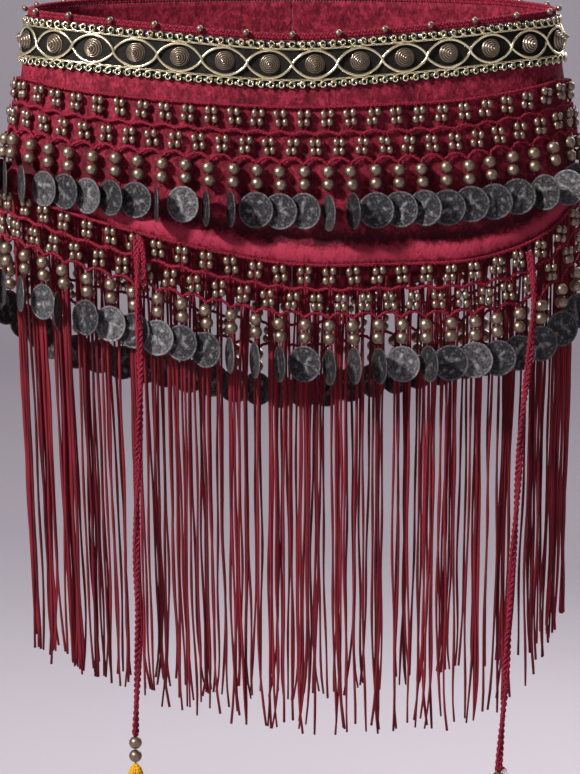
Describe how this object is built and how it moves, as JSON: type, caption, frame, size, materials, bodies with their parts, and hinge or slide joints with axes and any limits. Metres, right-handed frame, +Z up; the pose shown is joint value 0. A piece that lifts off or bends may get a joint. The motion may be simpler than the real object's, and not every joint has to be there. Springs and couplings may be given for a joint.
{
  "type": "fringed belly dance belt",
  "caption": "Velvet hip belt in its worn, hollow form, with a metal trim, beaded coin trims, long fringe and two hanging cords.",
  "frame": {"origin": "centre of the hip opening, inside the ring of the belt at the height of its metal trim", "axes": "+Z up, front of the belt towards -Y, wearer's left side as seen from the front towards +X"},
  "size_m": [0.396, 0.2295, 0.5578],
  "materials": {
    "velvet": "crushed burgundy velvet with a soft sheen",
    "crochet_thread": "twisted red crochet thread",
    "antique_brass": "antiqued brass wire and pressed studs on a dark woven ribbon",
    "coin_metal": "antiqued grey pressed metal, worn bright on its relief",
    "fringe_thread": "twisted burgundy cord",
    "bronze_bead": "antiqued bronze coating, satin",
    "tassel_thread": "bright yellow thread"
  },
  "bodies": {
    "root": {"velvet_panel": "velvet", "edging_braid": "crochet_thread", "metal_trim": "antique_brass", "upper_trim_left": "coin_metal", "upper_trim_right": "coin_metal", "lower_trim_left": "coin_metal", "lower_trim_right": "coin_metal", "fringe": "fringe_thread", "left_cord": "crochet_thread", "left_cord_bead_1": "bronze_bead", "left_cord_bead_2": "bronze_bead", "left_tassel": "tassel_thread", "right_cord": "crochet_thread", "right_cord_bead_1": "bronze_bead", "right_cord_bead_2": "bronze_bead", "right_tassel": "tassel_thread"}
  },
  "joints": []
}
